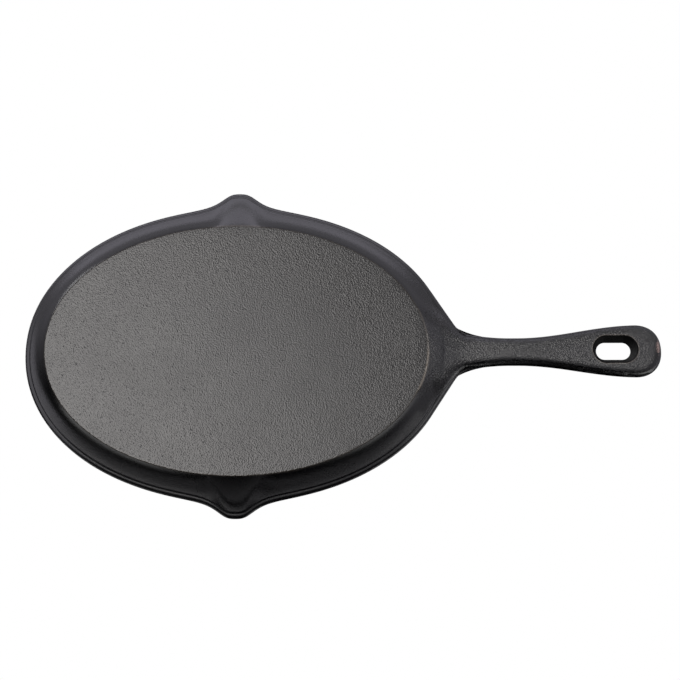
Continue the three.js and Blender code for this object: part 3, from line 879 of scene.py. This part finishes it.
# Wide square just below z = 0 that only the camera sees, so that it neither lights the pan nor shades it.
def paleFloor():
    half, z = studio["floorHalf"], -studio["floorDrop"] * mm
    corners = [(-half, -half, z), (half, -half, z), (half, half, z), (-half, half, z)]
    mesh = bpy.data.meshes.new("floor")
    mesh.from_pydata(corners, [], [(0, 1, 2, 3)])
    mesh.materials.append(palePaint("pale matt floor", True))
    floor = addObject("floor", mesh)
    floor.visible_diffuse = floor.visible_glossy = floor.visible_transmission = floor.visible_shadow = False


# Floor right beside the pan: the walls mirror it and it keeps the lamps below off them. No camera sees it.
# Its strips lie between pairs of lines, each the rim or the handle's outline moved in or out.
def besideFloor():
    z = -studio["ringDrop"] * mm
    last, first = np.searchsorted(rim[rootColumns, 1], [-studio["rootGap"], studio["rootGap"]])
    free = np.arange(first, len(rim) + last) % len(rim)
    crossing = np.abs(rim[rootColumns, 1])
    innerInset, outerInset = run + studio["ringInside"], np.full(len(rim), studio["ringInset"])
    innerInset[rootColumns] *= ease(studio["rootGap"], studio["rootClosed"], crossing)
    outerInset[rootColumns] = 0.0
    lip = (1.0 - ease(studio["lipGap"], studio["lipClosed"], np.abs(rim[:, 0]))) * (rim[:, 1] < 0.0)
    outerInset = mix(outerInset, innerInset, lip)
    body = [(rim + inward * inset[:, None])[free] for inset in (innerInset, outerInset)]
    clear = free[(free >= len(rootAngles) - 1) | (free == 0)]
    beyond = [(rim - inward * studio["ringGap"])[clear], (rim - inward * studio["ringReach"])[clear]]
    side = alongOutline(np.linspace(0.0, outlineLength[-1], studio["handleSteps"]))
    along = np.gradient(side, axis=0)
    out = np.stack([-along[:, 1], along[:, 0]], axis=-1) / np.linalg.norm(along, axis=1)[:, None]
    lower = [side - out * studio["handleInside"], side + out * studio["ringReach"]]
    upper = [line * [1.0, -1.0] for line in lower]
    points, faces = [], []
    for inner, outer in (body, beyond, upper, lower[::-1]):
        first, count = sum(len(block) for block in points), len(inner)
        near, far = first + np.arange(count), first + count + np.arange(count)
        points += [inner, outer]
        faces += np.stack([near[:-1], far[:-1], far[1:], near[1:]], axis=-1).tolist()
    flat = np.concatenate(points) * mm
    mesh = bpy.data.meshes.new("floor_beside")
    mesh.from_pydata(np.column_stack([flat, np.full(len(flat), z)]).tolist(), [], faces)
    mesh.materials.append(palePaint("pale matt floor beside the pan", False))
    ring = addObject("floor_beside", mesh)
    ring.visible_camera = False


paleFloor()
besideFloor()

# Light from all round. Heights are those on a ball of radius 1, from -1 straight below to 1 straight above.
tent = {
    "colour": "#f2effa", "side": 0.62, "below": 0.2, "above": 0.3,
    "belowFrom": -0.95, "belowTo": -0.60, "aboveTo": 0.8,
    "darkWay": (-0.35, 0.94, 0.0), "darkFrom": 0.55, "darkTo": -0.25,
    "skyLight": 0.62, "ambient": 0.03, "horizon": 0.05,
}


# World: white where the camera looks. In reflections it is a white tent, open and dark on the near side,
# dimmer straight below the pan and fading above it. Plain light comes from the sky, and a little from below.
def studioWorld():
    world = bpy.data.worlds.new("studio")
    bpy.context.scene.world = world
    tree = emptyTree(world)
    way = addNode(tree, "TexCoord").outputs["Generated"]
    height = addNode(tree, "SeparateXYZ", {0: way}).outputs["Z"]
    towardsDark = addNode(tree, "VectorMath", {0: way, 1: tent["darkWay"]},
                          operation="DOT_PRODUCT").outputs["Value"]
    low, high, far = (
        addNode(tree, "MapRange", {
            "Value": value, "From Min": start, "From Max": end, "To Min": atStart, "To Max": atEnd},
            interpolation_type="SMOOTHSTEP")
        for value, start, end, atStart, atEnd in (
            (height, tent["belowFrom"], tent["belowTo"], tent["below"], tent["side"]),
            (height, 0.0, tent["aboveTo"], 1.0, tent["above"]),
            (towardsDark, tent["darkFrom"], tent["darkTo"], 0.0, 1.0)))
    sides = addNode(tree, "Math", {0: low, 1: high}, operation="MULTIPLY")
    cloth = addNode(tree, "Math", {0: sides, 1: far}, operation="MULTIPLY")
    ray = addNode(tree, "LightPath").outputs
    mirrored = addNode(tree, "Math", {
        0: ray["Is Glossy Ray"], 1: ray["Is Transmission Ray"]}, operation="MAXIMUM")
    seen = addNode(tree, "Math", {0: mirrored, 1: cloth}, operation="MULTIPLY")
    bright = addNode(tree, "Math", {0: ray["Is Camera Ray"], 1: seen}, operation="MAXIMUM")
    plain = addNode(tree, "MapRange", {
        "Value": height, "From Min": -tent["horizon"], "From Max": tent["horizon"], "To Min": tent["ambient"],
        "To Max": tent["skyLight"]})
    spread = addNode(tree, "Math", {0: ray["Is Diffuse Ray"], 1: plain}, operation="MULTIPLY")
    level = addNode(tree, "Math", {0: bright, 1: spread}, operation="MAXIMUM")
    tone = addNode(tree, "Mix", {
        "Factor": ray["Is Camera Ray"], "A": colour(tent["colour"]), "B": white},
        data_type="RGBA").outputs["Result"]
    sky = addNode(tree, "Background", {"Color": tone, "Strength": level})
    addNode(tree, "OutputWorld", {"Surface": sky})


studioWorld()

# Soft boxes that face the origin: place, width and length in metres, the way the length runs, how bright the
# face is, and its tone. The four below light what the photo shows, the three above the cooking side.
lamps = {
    "key_below": ((-0.51, -0.07, -1.52), (1.16, 1.45), (0.31, 0.95, 0.0), 3.9, "#fffcfa"),
    "far_below": ((-0.18, -1.69, -0.62), (0.85, 3.0), (1.0, 0.0, 0.0), 1.2, "#f3efff"),
    "left_below": ((-1.40, 0.15, -0.85), (0.9, 1.3), (0.0, 1.0, 0.0), 1.2, "#f6f3ff"),
    "right_below": ((1.00, 0.28, -1.22), (1.0, 0.9), (0.0, 1.0, 0.0), 1.5, "#ffffff"),
    "top_side": ((-1.3, 1.3, 0.85), (0.8, 1.6), (1.0, 1.0, 0.0), 0.8, "#ffffff"),
    "top_box": ((-0.7, -0.6, 1.5), (1.6, 1.6), (0.0, 1.0, 0.0), 2.6, "#ffffff"),
    "top_fill": ((1.3, 1.2, 1.1), (1.4, 1.4), (0.0, 1.0, 0.0), 0.9, "#ffffff"),
}
for name, (place, (width, length), along, level, tone) in lamps.items():
    data = bpy.data.lights.new(name, "AREA")
    data.shape = "RECTANGLE"
    data.size, data.size_y = width, length
    data.energy = level * math.pi * width * length
    data.color = colour(tone)[:3]
    box = addObject(name, data)
    back = Vector(place).normalized()
    side = Vector(along).cross(back).normalized()
    axes = Matrix((side, back.cross(side), back)).transposed()
    box.matrix_world = Matrix.Translation(place) @ axes.to_4x4()
    box.visible_camera = False
print("light done")

# Camera under the pan, at the photograph's angle. Angles in degrees, lengths in half lengths of the rim,
# scale in pixels for one of these, sensor in mm.
shot = {
    "tilt": 78.0, "turn": 1.1357, "roll": -1.033, "distance": 6.1511,
    "shiftX": -0.481, "shiftY": -0.0675, "scale": 212.031, "pixels": 680.0, "sensor": 36.0,
}


# The angles are those of a pan lying upside down, so the axes are turned over to a camera below it.
def photoCamera():
    tilt, turn, roll = (math.radians(shot[key]) for key in ("tilt", "turn", "roll"))
    right = Vector((1.0, 0.0, 0.0))
    up = Vector((0.0, math.sin(tilt), math.cos(tilt)))
    away = Vector((0.0, math.cos(tilt), -math.sin(tilt)))
    eye = -right * shot["shiftX"] - up * shot["shiftY"] - away * shot["distance"]
    imageRight = right * math.cos(roll) - up * math.sin(roll)
    imageUp = right * math.sin(roll) + up * math.cos(roll)
    back = Matrix.Rotation(-turn, 3, "Z")
    over = Matrix.Diagonal((1.0, -1.0, -1.0))
    axes = [over @ back @ v for v in (imageRight, imageUp, -away)]
    place = (over @ back @ eye) * pan["rimHalfLength"] * mm + Vector((0.0, 0.0, pan["partingHeight"] * mm))
    data = bpy.data.cameras.new("photo camera")
    data.sensor_width = shot["sensor"]
    data.lens = shot["scale"] * shot["distance"] / shot["pixels"] * data.sensor_width
    camera = addObject("photo camera", data)
    camera.matrix_world = Matrix.Translation(place) @ Matrix(axes).transposed().to_4x4()
    bpy.context.scene.camera = camera
    print("camera at", [round(v, 4) for v in place], "lens", round(data.lens, 2))


photoCamera()
bpy.context.scene.view_settings.view_transform = "Standard"
